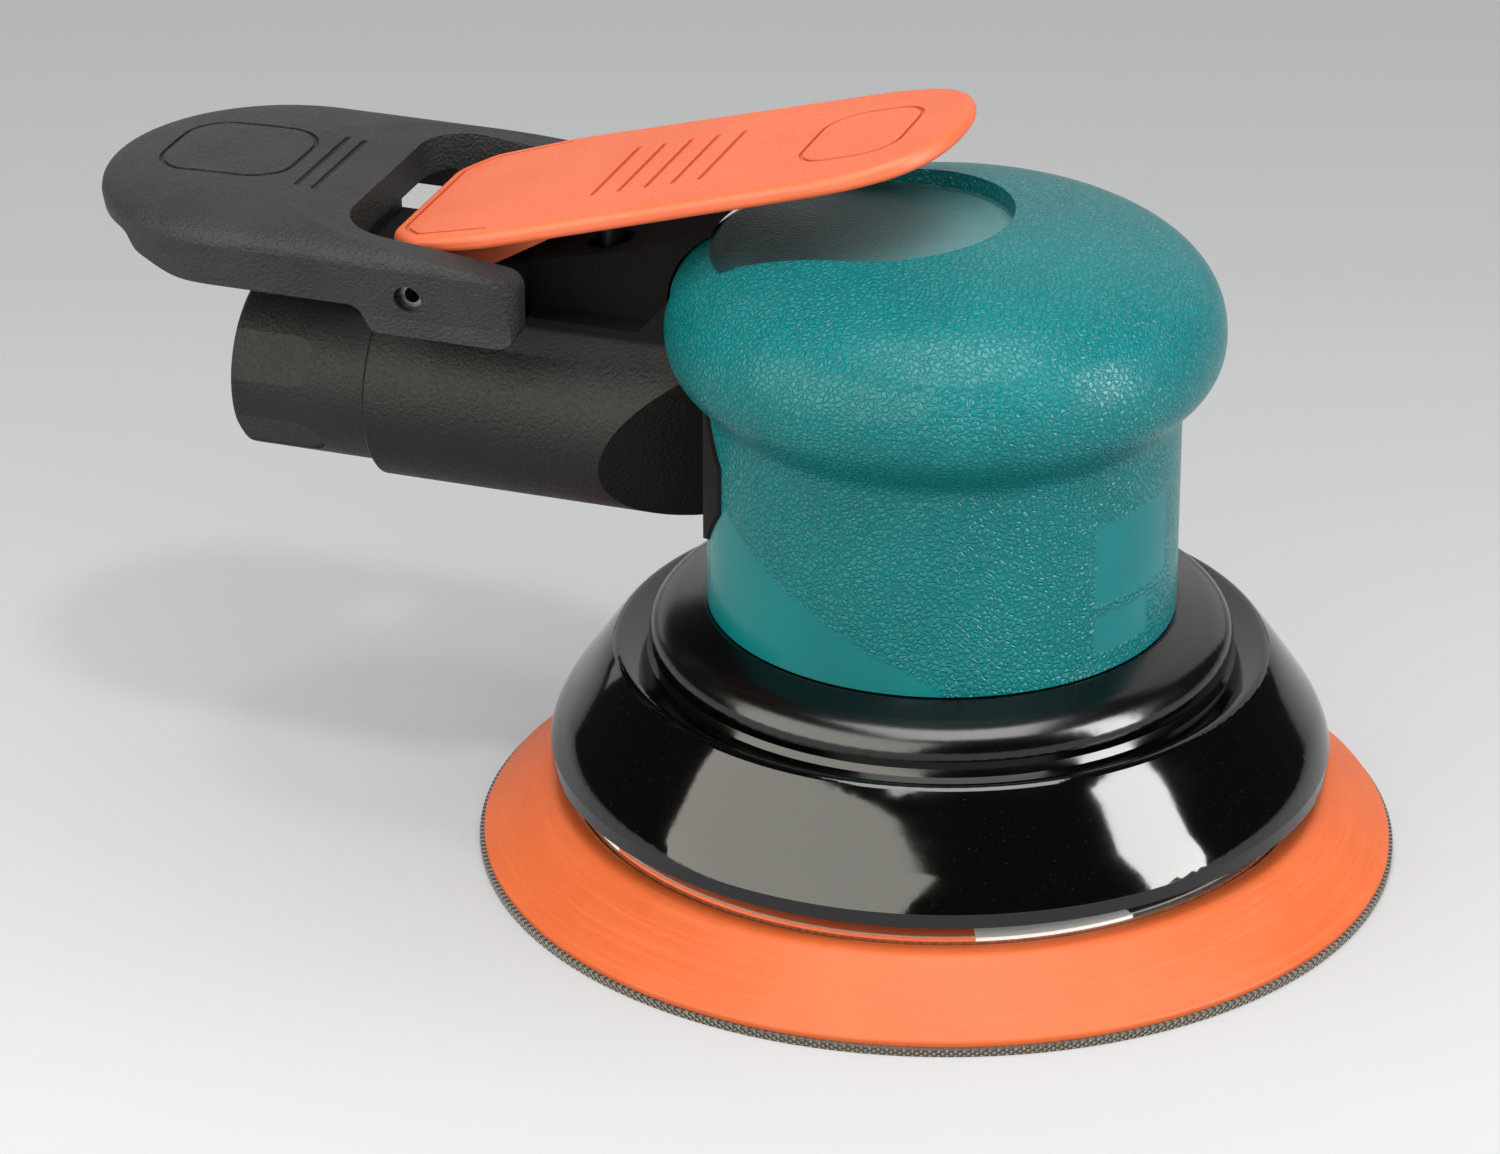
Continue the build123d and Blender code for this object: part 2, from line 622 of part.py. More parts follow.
def lever_marks():
    """Shallow grooves in the lever's top: a border at its rear, cross bars, a rounded frame at its tip."""
    border = offset(lever_outline(), -1.8) - offset(lever_outline(), -2.4)
    pattern = border & Rectangle(18, 60)
    pattern += Pos(58.5, 0) * (RectangleRounded(15, 19, 5.5) - RectangleRounded(13.8, 17.8, 4.9))
    for x in (22.0, 26.0, 30.0, 34.0, 38.0):
        pattern += Pos(x, 0) * RectangleRounded(0.8, 19, 0.39)
    return extrude(pattern, -MARK_DEPTH)


def lever_web(y0, y1):
    """Three-cornered web that runs down from the lever's underside to its pin."""
    drop = LEVER_TOP_AT_ORIGIN + PIN_X * tan(radians(LEVER_TILT)) - PIN_Z
    outline = [(-3.2, -1.5), (-3.2, -drop), (0.6, -drop - 3.1), (4.0, -drop - 1.0), (27.0, -1.5)]
    face = make_face(Polyline(*outline, close=True))
    return Pos(0, (y0 + y1) / 2, 0) * extrude(Plane.XZ * face, (y1 - y0) / 2, both=True)


def throttle_lever():
    plate = extrude(lever_outline(), -LEVER_T)
    plate = fillet(plate.edges().group_by(Axis.Z)[-1], 1.2)
    plate = fillet(plate.edges().group_by(Axis.Z)[0], 0.9) - lever_marks()
    plate += lever_web(-11.3, -8.8) + lever_web(8.8, 11.3)
    plate += block(10.0, 60.0, -1.0, 1.0, -3.8, -1.5)
    return lever_plane() * plate - rod_y(PIN_R + RUN, -20, 20, PIN_X, PIN_Z)


def lever_pin():
    """Rolled spring pin, with the slit along it."""
    half = REST_HALF - 2.6
    pin = rod_y(PIN_R, -half, half, PIN_X, PIN_Z) - rod_y(1.1, -REST_HALF, REST_HALF, PIN_X, PIN_Z)
    return pin - block(PIN_X, PIN_X + 3, -REST_HALF, REST_HALF, PIN_Z - 0.3, PIN_Z + 0.3)


# ---- valve -----------------------------------------------------------------


def stem_top_z():
    """Just under the lever's web over the valve."""
    return LEVER_TOP_AT_ORIGIN + VALVE_X * tan(radians(LEVER_TILT)) - 3.8 / cos(radians(LEVER_TILT)) - 0.4


def valve_stem():
    stem = rod(STEM_R, 56.0, stem_top_z(), VALVE_X)
    return fillet(stem.edges().group_by(Axis.Z)[-1], 0.9)


def valve_disc():
    return tube(4.0, STEM_R, 56.4, 58.6, VALVE_X)


def valve_seat():
    return tube(VALVE_BORE_R, 2.6, 58.8, 60.6, VALVE_X)


def valve_spring():
    coil = Helix(pitch=2.3, height=6.6, radius=3.2, center=(VALVE_X, 0, 48.8))
    start = Plane(coil @ 0, z_dir=coil % 0)
    return sweep(start * Circle(0.4), path=coil, is_frenet=True)


def stem_seal():
    return tube(3.25, STEM_R + RUN, BOSS_TOP_Z - 2.9, BOSS_TOP_Z - 0.9, VALVE_X)


def speed_regulator():
    plug = rod(REGULATOR_R, 44.1, 58.5, REGULATOR_X)
    plug -= rod_x(2.8, -65, -50, z=PASSAGE_Z)
    return plug - block(REGULATOR_X - 5, REGULATOR_X + 5, -0.6, 0.6, 43, 45.6)


def regulator_seal():
    return tube(REGULATOR_R + 1.15, REGULATOR_R + RUN, 46.05, 47.55, REGULATOR_X)


def write_parts():
    os.makedirs("parts", exist_ok=True)
    save("hook_face", hook_face())
    save("pad_foam", pad_foam())
    save("pad_plate", pad_plate())
    save("pad_label", pad_label())
    save("pad_stud", pad_stud())
    save("pad_spindle", pad_spindle())
    places = {"lower": (LOWER_BEARING, Pos()), "upper": (UPPER_BEARING, Pos())}
    places["pad"] = (PAD_BEARING, Pos(0, -ORBIT, 0))
    for name, (size, place) in places.items():
        outer_ring, inner_ring, balls = bearing(*size)
        save(f"{name}_bearing_outer_ring", place * outer_ring)
        save(f"{name}_bearing_inner_ring", place * inner_ring)
        save(f"{name}_bearing_balls", *[place * ball for ball in balls])
    save("balancer_shaft", balancer_shaft())
    save("rotor", rotor())
    save("rotor_blades", *rotor_blades())
    save("rotor_key", rotor_key())
    save("dust_shield", dust_shield())
    save("bearing_clip", bearing_clip())
    save("spindle_clip", spindle_clip())
    save("motor_housing", motor_housing())
    save("grip_cover", grip_cover())
    save("lower_end_plate", lower_end_plate())
    save("upper_end_plate", upper_end_plate())
    save("cylinder", cylinder())
    save("locating_pin", locating_pin())
    save("lock_ring", lock_ring())
    save("shroud", shroud())
    save("muffler_cap", muffler_cap())
    save("silencer", silencer())
    save("inlet_bushing", inlet_bushing())
    save("inlet_screen", inlet_screen())
    save("wrist_rest", wrist_rest())
    save("rest_screws", *rest_screws())
    save("throttle_lever", throttle_lever())
    save("lever_pin", lever_pin())
    save("valve_stem", valve_stem())
    save("valve_disc", valve_disc())
    save("valve_seat", valve_seat())
    save("valve_spring", valve_spring())
    save("stem_seal", stem_seal())
    save("speed_regulator", speed_regulator())
    save("regulator_seal", regulator_seal())


write_parts()
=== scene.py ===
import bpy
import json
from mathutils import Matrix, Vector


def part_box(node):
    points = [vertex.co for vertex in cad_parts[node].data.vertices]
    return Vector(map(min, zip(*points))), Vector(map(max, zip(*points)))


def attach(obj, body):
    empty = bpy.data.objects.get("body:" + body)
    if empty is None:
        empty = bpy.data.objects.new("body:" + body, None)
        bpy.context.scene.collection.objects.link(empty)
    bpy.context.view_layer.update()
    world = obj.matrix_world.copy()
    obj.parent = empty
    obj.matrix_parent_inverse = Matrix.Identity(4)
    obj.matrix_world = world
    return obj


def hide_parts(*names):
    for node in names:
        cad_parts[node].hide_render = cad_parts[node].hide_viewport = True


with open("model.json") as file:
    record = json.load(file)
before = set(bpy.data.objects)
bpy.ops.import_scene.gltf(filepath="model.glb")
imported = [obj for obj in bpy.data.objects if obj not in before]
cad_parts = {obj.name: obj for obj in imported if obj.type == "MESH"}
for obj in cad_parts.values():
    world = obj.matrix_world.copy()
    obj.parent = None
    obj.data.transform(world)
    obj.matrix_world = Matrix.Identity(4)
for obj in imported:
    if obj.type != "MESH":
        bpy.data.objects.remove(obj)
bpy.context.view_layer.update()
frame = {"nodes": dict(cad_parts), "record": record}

import json
import math

import bmesh
import bpy
from mathutils import Matrix, Vector

NODES = frame["nodes"]

# Places on the tool that its materials follow. Lengths are in metres, turns in degrees.
PAD_AXIS_Y = -0.0012  # the pad turns about the balancer's eccentric bore
POCKET_X, POCKET_RADIUS = -0.0084, 0.0172  # round end of the thumb pocket, and its half width
POCKET_POINT_X, POCKET_POINT_Z, POCKET_SLOPE = 0.0088, 0.0892, 3.3  # the pocket's sloping floor
SKIRT_TOP_Z = 0.0625  # the cover's skirt is upright below this
SWEEP_TURNS, SWEEP_Z, SWEEP_FALL = (-150.0, -72.0), 0.0184, -0.000262  # plain sweep at the skirt's left
PLAIN_PATCHES = (((-33.0, -4.0), (0.0462, 0.0580)), ((-33.0, -14.0), (0.0392, 0.0448)))  # turns, heights
DECK_Z, HEAD_RADIUS = 0.0705, 0.0350  # the deck over the handle, and the head under its cover
COLLAR_RADIUS = 0.040  # the shroud is satin inside this and polished outside it
LABEL_RIM_RADIUS = 0.0499  # pale rim around the printed ring


# ---- shader building ---------------------------------------------------------


class Shader:
    """A material under construction, with short calls for the nodes used here."""

    def __init__(self, name):
        self.mat = bpy.data.materials.new(name)
        self.mat.use_nodes = True
        self.tree = self.mat.node_tree
        self.bsdf = self.tree.nodes["Principled BSDF"]
        coords = self.tree.nodes.new("ShaderNodeTexCoord")
        self.place = coords.outputs["Object"]

    def node(self, kind, inputs=(), **settings):
        made = self.tree.nodes.new(kind)
        for key, value in settings.items():
            setattr(made, key, value)
        for key, value in dict(inputs).items():
            self.put(made.inputs[key], value)
        return made

    def put(self, socket, value):
        if isinstance(value, bpy.types.NodeSocket):
            self.tree.links.new(value, socket)
        else:
            socket.default_value = value

    def set(self, **values):
        """Sets or links inputs of the main shader, with underscores for the spaces in their names."""
        for key, value in values.items():
            self.put(self.bsdf.inputs[key.replace("_", " ")], value)

    def noise(self, scale, detail=2.0, rough=0.5, vector=None, distortion=0.0):
        made = self.node("ShaderNodeTexNoise", {
            "Vector": vector or self.place, "Scale": scale, "Detail": detail,
            "Roughness": rough, "Distortion": distortion})
        return made.outputs["Fac"]

    def cells(self, scale, feature="F1", vector=None):
        made = self.node("ShaderNodeTexVoronoi", {
            "Vector": vector or self.place, "Scale": scale}, feature=feature)
        return made.outputs["Distance"]

    def warped(self, scale, amount):
        """Object coordinates pushed about by noise, so that cells lose their straight sides."""
        made = self.node("ShaderNodeTexNoise", {"Vector": self.place, "Scale": scale, "Detail": 1.0})
        centred = self.node("ShaderNodeVectorMath", {0: made.outputs["Color"], 1: (0.5, 0.5, 0.5)},
                            operation="SUBTRACT")
        scaled = self.node("ShaderNodeVectorMath", {0: centred.outputs[0], "Scale": amount},
                           operation="SCALE")
        added = self.node("ShaderNodeVectorMath", {0: self.place, 1: scaled.outputs[0]})
        return added.outputs[0]

    def math(self, operation, a, b=0.0, c=0.0):
        made = self.node("ShaderNodeMath", operation=operation)
        for socket, value in zip(made.inputs, (a, b, c)):
            self.put(socket, value)
        return made.outputs[0]

    def span(self, value, low, high, to_low=0.0, to_high=1.0, smooth=False):
        """Maps low..high onto to_low..to_high, held at both ends."""
        made = self.node("ShaderNodeMapRange", {
            "Value": value, "From Min": low, "From Max": high, "To Min": to_low, "To Max": to_high},
            interpolation_type="SMOOTHSTEP" if smooth else "LINEAR")
        return made.outputs["Result"]

    def inside(self, value, low, high, soft):
        """1 where value lies between low and high, with soft edges."""
        rise = self.span(value, low - soft, low + soft, smooth=True)
        fall = self.span(value, high - soft, high + soft, 1.0, 0.0, smooth=True)
        return self.math("MULTIPLY", rise, fall)

    def mix(self, factor, a, b):
        made = self.node("ShaderNodeMix", data_type="RGBA")
        self.put(made.inputs["Factor"], factor)
        self.put(made.inputs[6], rgb(a) if isinstance(a, tuple) else a)
        self.put(made.inputs[7], rgb(b) if isinstance(b, tuple) else b)
        return made.outputs[2]

    def ramp(self, value, stops, stepped=False):
        """Colours along a value from (place, colour) stops."""
        made = self.node("ShaderNodeValToRGB", {"Fac": value})
        if stepped:
            made.color_ramp.interpolation = "CONSTANT"
        elements = made.color_ramp.elements
        while len(elements) < len(stops):
            elements.new(1.0)
        for element, (place, colour) in zip(elements, stops):
            element.position = place
            element.color = rgb(colour)
        return made.outputs["Color"]

    def axes(self):
        made = self.node("ShaderNodeSeparateXYZ", {0: self.place})
        return made.outputs["X"], made.outputs["Y"], made.outputs["Z"]

    def radius(self, centre_x=0.0, centre_y=0.0):
        """Distance from an upright axis."""
        x, y, _ = self.axes()
        across = self.math("POWER", self.math("SUBTRACT", x, centre_x), 2.0)
        along = self.math("POWER", self.math("SUBTRACT", y, centre_y), 2.0)
        return self.math("SQRT", self.math("ADD", across, along))

    def angle(self, centre_y=0.0):
        """Turn about an upright axis in degrees, from -180 to 180, 0 at +X."""
        x, y, _ = self.axes()
        turn = self.math("ARCTAN2", self.math("SUBTRACT", y, centre_y), x)
        return self.math("MULTIPLY", turn, 180.0 / math.pi)

    def bump(self, *layers):
        """Stacked bump nodes, each (height, distance in metres, strength)."""
        normal = None
        for height, distance, strength in layers:
            inputs = {"Height": height, "Distance": distance, "Strength": strength}
            if normal is not None:
                inputs["Normal"] = normal
            normal = self.node("ShaderNodeBump", inputs).outputs["Normal"]
        self.put(self.bsdf.inputs["Normal"], normal)


def rgb(colour):
    return (*colour, 1.0) if len(colour) == 3 else colour


def scaled(colour, share):
    return tuple(c * share for c in colour)


# ---- materials ---------------------------------------------------------------


def pocket_mask(s):
    """1 on the thumb pocket's floor: a round end with a straight lane running back from it."""
    x, y, z = s.axes()
    floor_z = s.math("MULTIPLY_ADD", s.math("SUBTRACT", x, POCKET_POINT_X),
                     math.tan(math.radians(POCKET_SLOPE)), POCKET_POINT_Z)
    height = s.math("ABSOLUTE", s.math("SUBTRACT", z, floor_z))
    near_floor = s.span(height, 0.0004, 0.0006, 1.0, 0.0)
    in_round = s.span(s.radius(POCKET_X), POCKET_RADIUS - 0.0002, POCKET_RADIUS + 0.0002, 1.0, 0.0)
    in_lane = s.math("MULTIPLY", s.math("LESS_THAN", x, POCKET_X),
                     s.math("LESS_THAN", s.math("ABSOLUTE", y), POCKET_RADIUS + 0.0002))
    return s.math("MULTIPLY", near_floor, s.math("MAXIMUM", in_round, in_lane))


def plain_mask(s):
    """1 where the skirt has no pebbles: a sweep at its left and two label patches at its right."""
    _, _, z = s.axes()
    turn = s.angle()
    skirt = s.math("LESS_THAN", z, SKIRT_TOP_Z)
    edge = s.math("MULTIPLY_ADD", turn, SWEEP_FALL, SWEEP_Z)
    under = s.span(s.math("SUBTRACT", z, edge), -0.0006, 0.0006, 1.0, 0.0)
    plain = s.math("MULTIPLY", s.math("MULTIPLY", under, skirt), s.inside(turn, *SWEEP_TURNS, 1.0))
    for turns, heights in PLAIN_PATCHES:
        patch = s.math("MULTIPLY", s.inside(turn, *turns, 0.8), s.inside(z, *heights, 0.0004))
        plain = s.math("MAXIMUM", plain, patch)
    return plain


def grip_rubber():
    """Teal overmould: pebbled all over, finer in the thumb pocket, plain where its labels sit."""
    teal, teal_pale = (0.001, 0.104, 0.112), (0.002, 0.124, 0.132)
    # The darker valley tone is painted shade for the recesses between pebbles.
    valley_shade, plain_tone = (0.001, 0.050, 0.056), (0.001, 0.055, 0.061)
    # The two pocket tones are painted light: a dark painted shade under the lever and a lighter lit tone
    # towards the pocket's right.
    pocket_shade, pocket_lit = (0.002, 0.014, 0.017), (0.085, 0.205, 0.210)
    pocket_fleck = (0.04, 0.10, 0.103)

    s = Shader("grip_rubber_teal")
    pocket, plain = pocket_mask(s), plain_mask(s)
    warped = s.warped(900.0, 0.0006)
    pebble = s.span(s.cells(1250.0, "DISTANCE_TO_EDGE", warped), 0.02, 0.24, smooth=True)
    fine = s.noise(4200.0, 2.0, 0.6)
    wide = s.noise(60.0, 2.0, 0.5)
    pebbled = s.math("SUBTRACT", 1.0, s.math("MAXIMUM", s.math("MULTIPLY", pocket, 0.72), plain))
    height = s.math("MULTIPLY", pebble, pebbled)
    valley = s.math("MULTIPLY", s.math("SUBTRACT", 1.0, pebble), pebbled)

    tone = s.mix(s.span(wide, 0.35, 0.68), teal, teal_pale)
    # Painted shade: the pebble valleys are darkened in colour as if shaded.
    tone = s.mix(s.math("MULTIPLY", valley, 0.42), tone, valley_shade)
    tone = s.mix(s.math("MULTIPLY", plain, 0.12), tone, plain_tone)
    # Painted shade in the thumb pocket: dark at its left where the lever's shadow falls, graded lighter to
    # its right as if lit.
    x, _, _ = s.axes()
    pocket_tone = s.mix(s.span(x, -0.020, 0.006, smooth=True), pocket_shade, pocket_lit)
    pocket_tone = s.mix(s.span(s.noise(300.0, 2.0), 0.3, 0.7, 0.0, 0.16), pocket_tone, pocket_fleck)
    tone = s.mix(s.math("MULTIPLY", pocket, 0.92), tone, pocket_tone)
    rough = s.math("ADD", s.span(s.math("ADD", fine, wide), 0.6, 1.4, 0.20, 0.28),
                   s.math("MULTIPLY", pocket, 0.20))
    s.set(Base_Color=tone, IOR=1.46, Roughness=rough, Specular_IOR_Level=0.26)
    s.bump((height, 0.00014, 0.8), (fine, 0.00003, 0.3))
    return s.mat


def black_nylon(name, tone=(0.0165, 0.017, 0.018), coarse=1.0, shine=0.28, painted_shade_above=None):
    """Spark-eroded black moulding: fine even grain that glints.

    Above the height it is given, and on the head under its cover, it is painted dead black as shade.
    """
    s = Shader(name)
    grain = s.noise(2300.0, 2.0, 0.65)
    pits = s.cells(1900.0)
    cloud = s.noise(90.0, 3.0, 0.6)
    dust = s.span(s.noise(1500.0, 3.0, 0.7), 0.60, 0.78)
    base = s.mix(s.span(cloud, 0.3, 0.7), scaled(tone, 0.80), scaled(tone, 1.22))
    base = s.mix(s.math("MULTIPLY", dust, 0.35), base, scaled(tone, 2.3))
    rough = s.span(grain, 0.3, 0.72, 0.40, 0.60)
    # Painted shade: under the lever above the deck and on the head, the colour is made dead black and the
    # roughness near full.
    if painted_shade_above:
        _, _, z = s.axes()
        painted_shade = s.math("MAXIMUM", s.span(z, painted_shade_above, painted_shade_above + 0.0015),
                      s.math("LESS_THAN", s.radius(), HEAD_RADIUS))
        base = s.mix(painted_shade, base, (0.0012, 0.0012, 0.0012))
        rough = s.math("MAXIMUM", rough, s.math("MULTIPLY", painted_shade, 0.95))
    s.set(Base_Color=base, Roughness=rough, IOR=1.5, Specular_IOR_Level=shine)
    s.bump((grain, 0.00016 * coarse, 0.85), (pits, 0.00008 * coarse, 0.6))
    return s.mat


def gloss_black():
    """Polished shroud: deep black with faint handling haze and moulding ripple, satin at its collar."""
    s = Shader("shroud_gloss_black")
    haze = s.noise(45.0, 4.0, 0.6)
    specks = s.span(s.noise(2400.0, 1.0, 0.5), 0.70, 0.80)
    ripple = s.noise(38.0, 1.0, 0.4)
    base = s.mix(specks, (0.0006, 0.0006, 0.0006), (0.010, 0.010, 0.010))
    satin = s.span(s.radius(), COLLAR_RADIUS - 0.0005, COLLAR_RADIUS + 0.0005, 0.15, 0.0)
    rough = s.math("ADD", s.span(haze, 0.35, 0.75, 0.045, 0.11), satin)
    s.set(Base_Color=base, Roughness=rough, IOR=1.53)
    s.bump((ripple, 0.00025, 0.12), (s.noise(700.0, 2.0), 0.00001, 0.35))
    return s.mat


def lever_orange():
    """Moulded orange nylon with faint flow marks."""
    s = Shader("lever_orange")
    grain = s.noise(2600.0, 2.0, 0.6)
    cloud = s.noise(70.0, 3.0, 0.6)
    flow = s.noise(240.0, 3.0, 0.65, distortion=0.6)
    tone = s.mix(s.span(cloud, 0.3, 0.7), (0.46, 0.080, 0.023), (0.50, 0.094, 0.031))
    tone = s.mix(s.math("MULTIPLY", s.span(flow, 0.5, 0.8), 0.25), tone, (0.45, 0.068, 0.020))
    s.set(Base_Color=tone, Roughness=s.span(grain, 0.3, 0.7, 0.42, 0.58), IOR=1.5,
          Subsurface_Weight=0.06, Subsurface_Scale=0.002)
    s.bump((grain, 0.00004, 0.6), (s.noise(500.0, 2.0), 0.00003, 0.3))
    return s.mat


def foam_skin():
    """Skinned urethane: satin orange with faint turning marks and rubbed streaks."""
    s = Shader("pad_foam_orange")
    _, _, z = s.axes()
    rings = s.node("ShaderNodeCombineXYZ", {
        "X": s.radius(centre_y=PAD_AXIS_Y), "Y": s.math("MULTIPLY", s.angle(PAD_AXIS_Y), 0.00002), "Z": z})
    turned = s.noise(1500.0, 2.0, 0.6, rings.outputs[0])
    cloud = s.noise(55.0, 4.0, 0.6)
    pores = s.span(s.noise(1900.0, 2.0, 0.6), 0.62, 0.75)
    tone = s.mix(s.span(cloud, 0.3, 0.7), (0.364, 0.065, 0.0125), (0.398, 0.079, 0.0205))
    tone = s.mix(s.math("MULTIPLY", s.span(turned, 0.45, 0.75), 0.22), tone, (0.48, 0.11, 0.045))
    tone = s.mix(s.math("MULTIPLY", pores, 0.35), tone, (0.42, 0.05, 0.012))
    s.set(Base_Color=tone, Roughness=s.span(turned, 0.3, 0.7, 0.42, 0.58), IOR=1.48,
          Specular_IOR_Level=0.30, Subsurface_Weight=0.10, Subsurface_Scale=0.003)
    s.bump((turned, 0.00003, 0.5), (s.noise(2600.0, 2.0), 0.00003, 0.4))
    return s.mat


def hook_weave():
    """Hook tape: dark yarn with yellow hooks along a woven grid."""
    s = Shader("hook_weave")
    weft = s.math("SINE", s.math("MULTIPLY", s.angle(PAD_AXIS_Y), 6.2))
    _, _, z = s.axes()
    warp = s.math("SINE", s.math("MULTIPLY", z, 9000.0))
    thread = s.math("MULTIPLY", weft, warp)
    hooks = s.span(s.math("ADD", thread, s.noise(1400.0, 2.0, 0.7)), 0.95, 1.25)
    base = s.mix(hooks, (0.009, 0.008, 0.007), (0.26, 0.17, 0.04))
    s.set(Base_Color=base, Roughness=0.85, Sheen_Weight=0.3, Sheen_Roughness=0.5)
    s.bump((thread, 0.0003, 0.8), (s.noise(3000.0, 2.0), 0.0002, 0.6))
    return s.mat


def label_print():
    """Printed ring of plain coloured segments."""
    white, black, orange = (0.78, 0.78, 0.77), (0.012, 0.012, 0.013), (0.72, 0.13, 0.04)
    segments = [(-180, orange), (-155, white), (-131, orange), (-67, white), (-42, black), (-14, white),
                (10, orange), (75, white), (100, black), (128, white), (152, orange)]

    s = Shader("label_print")
    stops = [((degrees + 180) / 360, colour) for degrees, colour in segments]
    printed = s.ramp(s.span(s.angle(PAD_AXIS_Y), -180.0, 180.0), stops, stepped=True)
    rim = s.inside(s.radius(centre_y=PAD_AXIS_Y), LABEL_RIM_RADIUS - 0.0002, LABEL_RIM_RADIUS + 0.0002,
                   0.00008)
    dots = s.span(s.noise(3800.0, 1.0, 0.5), 0.25, 0.7)
    tone = s.mix(s.math("MULTIPLY", dots, 0.10), printed, (0.35, 0.35, 0.35))
    tone = s.mix(s.math("MULTIPLY", rim, 0.8), tone, (0.80, 0.78, 0.74))
    s.set(Base_Color=tone, Roughness=s.span(dots, 0.0, 1.0, 0.28, 0.4), Coat_Weight=0.3, Coat_Roughness=0.15)
    s.bump((dots, 0.00002, 0.3))
    return s.mat


def fibreglass():
    """Laminated pad plate with its cloth showing."""
    s = Shader("fibreglass_laminate")
    x, y, _ = s.axes()
    weave = s.math("MULTIPLY", s.math("SINE", s.math("MULTIPLY", x, 5200.0)),
                   s.math("SINE", s.math("MULTIPLY", y, 5200.0)))
    tone = s.mix(s.span(weave, -1.0, 1.0), (0.16, 0.045, 0.018), (0.27, 0.085, 0.035))
    s.set(Base_Color=tone, Roughness=s.span(weave, -1.0, 1.0, 0.3, 0.45), IOR=1.5)
    s.bump((weave, 0.00006, 0.4), (s.noise(1800.0, 2.0), 0.00003, 0.3))
    return s.mat


def ground_metal(name, tone, rough=(0.22, 0.38)):
    """Turned or ground metal, with brush marks around it and slight stains."""
    s = Shader(name)
    squeezed = s.node("ShaderNodeMapping", {"Vector": s.place, "Scale": (1.0, 1.0, 14.0)})
    lines = s.noise(260.0, 4.0, 0.65, squeezed.outputs[0])
    stain = s.noise(120.0, 3.0, 0.6)
    base = s.mix(s.span(stain, 0.3, 0.75), tone, scaled(tone, 0.72))
    s.set(Base_Color=base, Metallic=1.0, Roughness=s.span(lines, 0.3, 0.7, *rough))
    s.bump((lines, 0.00002, 0.5))
    return s.mat


def soft_rubber():
    """Black seal rubber with a fine bloom."""
    s = Shader("seal_rubber_black")
    fine = s.noise(2600.0, 2.0, 0.6)
    s.set(Base_Color=s.mix(fine, (0.016, 0.016, 0.016), (0.03, 0.03, 0.03)),
          Roughness=s.span(fine, 0.3, 0.7, 0.5, 0.68))
    s.bump((fine, 0.00004, 0.5))
    return s.mat


def pressed_felt():
    """Grey silencer felt with tangled fibres."""
    s = Shader("pressed_felt")
    fibre = s.noise(1800.0, 5.0, 0.75, distortion=1.2)
    s.set(Base_Color=s.mix(fibre, (0.30, 0.29, 0.26), (0.56, 0.55, 0.50)), Roughness=0.95, Sheen_Weight=0.4)
    s.bump((fibre, 0.0003, 0.8))
    return s.mat


def blade_laminate():
    """Brown rotor blades, built up in thin layers."""
    s = Shader("blade_laminate")
    _, _, z = s.axes()
    layers = s.math("SINE", s.math("MULTIPLY", z, 9000.0))
    grain = s.noise(900.0, 3.0, 0.6)
    tone = s.mix(s.span(s.math("ADD", layers, grain), -0.6, 1.6), (0.20, 0.10, 0.045), (0.36, 0.21, 0.10))
    s.set(Base_Color=tone, Roughness=s.span(grain, 0.3, 0.7, 0.4, 0.6))
    s.bump((layers, 0.00004, 0.3))
    return s.mat


def make_materials():
    """One material for each of the record's slots."""
    return {
        "black_nylon": black_nylon("black_nylon"),
        "grip_rubber": grip_rubber(),
        "gloss_black": gloss_black(),
        "lever_orange": lever_orange(),
        "pad_orange": foam_skin(),
        "hook_fabric": hook_weave(),
        "label_print": label_print(),
        "fibreglass": fibreglass(),
        "steel": ground_metal("ground_steel", (0.58, 0.57, 0.56)),
        "spring_steel": ground_metal("spring_steel", (0.20, 0.20, 0.21), (0.25, 0.45)),
        "aluminium": ground_metal("machined_aluminium", (0.72, 0.72, 0.73), (0.25, 0.42)),
        "brass": ground_metal("machined_brass", (0.72, 0.50, 0.20), (0.22, 0.4)),
        "seal_rubber": soft_rubber(),
        "felt": pressed_felt(),
        "blade_laminate": blade_laminate(),
    }


def dress(obj, material):
    obj.data.materials.clear()
    obj.data.materials.append(material)


def dress_nodes(materials):
    """Every CAD node takes the material of its slot in the record, and four take their own variant."""
    for part in frame["record"]["subparts"]:
        dress(NODES[part["node"]], materials[part["material_slot"]])
    dress(NODES["wrist_rest"], black_nylon("rest_black", (0.0150, 0.0155, 0.0165), coarse=1.7, shine=0.26))
    dress(NODES["muffler_cap"], black_nylon("cap_black", (0.011, 0.011, 0.011), shine=0.20))
    # The housing gets painted shade above the deck and on the head under its cover.
    dress(NODES["motor_housing"], black_nylon("housing_black", (0.0065, 0.0063, 0.006), shine=0.24,
                                              painted_shade_above=DECK_Z))
    dress(NODES["valve_stem"], ground_metal("blued_steel", (0.035, 0.035, 0.038), (0.35, 0.5)))


# ---- meshes ------------------------------------------------------------------


LATHE_STEPS = 256
CORNER_STEPS = 6


def add_mesh(name, bm, material, body):
    """A finished bmesh as a smooth-shaded piece that rides on a body."""
    mesh = bpy.data.meshes.new(name)
    bmesh.ops.recalc_face_normals(bm, faces=bm.faces)
    bm.to_mesh(mesh)
    bm.free()
    for polygon in mesh.polygons:
        polygon.use_smooth = True
    obj = bpy.data.objects.new(name, mesh)
    bpy.context.scene.collection.objects.link(obj)
    obj.data.materials.append(material)
    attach(obj, body)
    return obj


